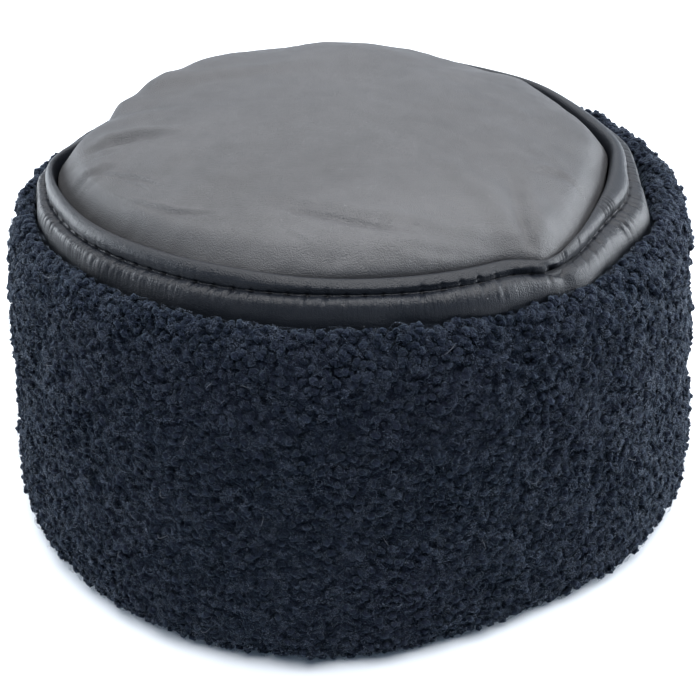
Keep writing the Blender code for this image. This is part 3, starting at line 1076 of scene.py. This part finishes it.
# %% [markdown]
# Over the curls hangs a haze of single fibres, far too many to model. A thin shell carries them instead: it
# is clear but for winding threads, which are the narrow crests of a wave pattern. Seen face on it is nearly
# nothing, and where it turns away it gathers into a soft grey rim, as real fuzz does. Its colour is paler
# than the fleece's, a painted highlight for the light that fine fibres catch.

# %% Fuzz
FUZZ_STAND_OFF = 1.45 * MM
FUZZ_SHOULDER = 0.55 * MM    # how much further off it stands round the shoulder
FUZZ_WAVES = ((0.45, 3.2, 71),)
# paler than the fleece: a painted highlight for the light that fine fibres catch
FUZZ_COLOURS_PAINTED_HIGHLIGHT = ((0.014, 0.019, 0.030, 1), (0.066, 0.079, 0.108, 1))


def fuzz_finish():
    finish = Finish("fleece_fuzz")
    threads = finish.step(finish.fibres(560, 15, 1.8), 0.68, 1, 0.80)
    tufts = finish.step(finish.noise(420), 0.42, 0.62)
    colour = finish.mix(finish.noise(90), *FUZZ_COLOURS_PAINTED_HIGHLIGHT)
    finish.shade(Sheen_Weight=0.22, Sheen_Roughness=0.5, Sheen_Tint=(0.72, 0.85, 1, 1))
    return finish.shade(Base_Color=colour, Roughness=0.9, Alpha=threads * tufts, Specular_IOR_Level=0.1)


def add_fuzz():
    """The fleece's outer surface again, pushed out over the curls and roughened."""
    angle = turn(240)
    row = np.linspace(2, 17.2, 46)[:, None]
    points = fleece_surface(angle, row)
    stand_off = FUZZ_STAND_OFF + FUZZ_SHOULDER * bell(row, 14.6, 2.2)
    points = pushed(points, stand_off + MM * swells(points, FUZZ_WAVES))
    points[..., 2] = np.maximum(points[..., 2], 0.3 * MM)
    add_piece("fleece_fuzz", points, grid_faces(*points.shape[:2]).tolist(), fuzz_finish())


add_fuzz()

# %% [markdown]
# A few long hairs always escape from a dark fleece, and they catch the light; their pale colour is a painted
# highlight for it. Each is a thin bar along an arc that leaves the surface and bends back to it.

# %% Stray hairs
HAIRS = 70
HAIR_STEPS = 7
HAIR_RADIUS = 0.045 * MM


def hair_finish():
    finish = Finish("stray_hair")
    shade = finish.noise(300, 1)
    # the pale colour is a painted highlight for the light the hairs catch
    colour = finish.mix(shade, (0.03, 0.035, 0.05, 1), (0.26, 0.28, 0.32, 1))
    return finish.shade(Base_Color=colour, Roughness=0.5)


def add_hairs():
    """Each hair: straight along the surface, bent sideways with t squared, lifted by a sine."""
    random = np.random.default_rng(61)
    angle = random.uniform(0, TURN, HAIRS)
    row = random.uniform(4, 15.5, HAIRS)
    here, out, side, up = (v[:, None] for v in frames_at(angle, row))
    t = np.linspace(0, 1, HAIR_STEPS)[None, :, None]
    vary = drawing(random, HAIRS)
    along, across = turned(side, up, vary(0, TURN))
    length = vary(1.8, 5) * MM
    lift = (0.8 + vary(0.6, 1.9) * np.sin(np.pi * t)) * MM
    paths = here + along * length * t + across * length * vary(-0.4, 0.4) * t * t + out * lift
    radius = HAIR_RADIUS * np.array([0.6] + [1.0] * (HAIR_STEPS - 2) + [0.3])
    points, faces = tubes(paths, radius, 3)
    add_piece("stray_hairs", points, faces, hair_finish())


add_hairs()

# %% [markdown]
# The inner face of the band is the hide that the wool grows on, buffed to a short nap like suede. The
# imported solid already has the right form, so it stays and only gets its finish: a soft charcoal with a
# mottled nap.

# %% The hide
def hide_finish():
    finish = Finish("napped_hide")
    nap = finish.noise(1500, 3, 0.7)
    mottle = finish.noise(90, 3)
    normal = finish.bump(nap, 0.25 * MM)
    colour = finish.mix(mottle * 0.6 + nap * 0.4, (0.030, 0.029, 0.030, 1), (0.085, 0.080, 0.078, 1))
    return finish.shade(Base_Color=colour, Roughness=0.9, Normal=normal, Sheen_Weight=0.3)


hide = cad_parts["band_hide"]
hide.data.materials.clear()
hide.data.materials.append(hide_finish())
hide.data.shade_smooth()
print("hide:", hide.data.materials[0].name)
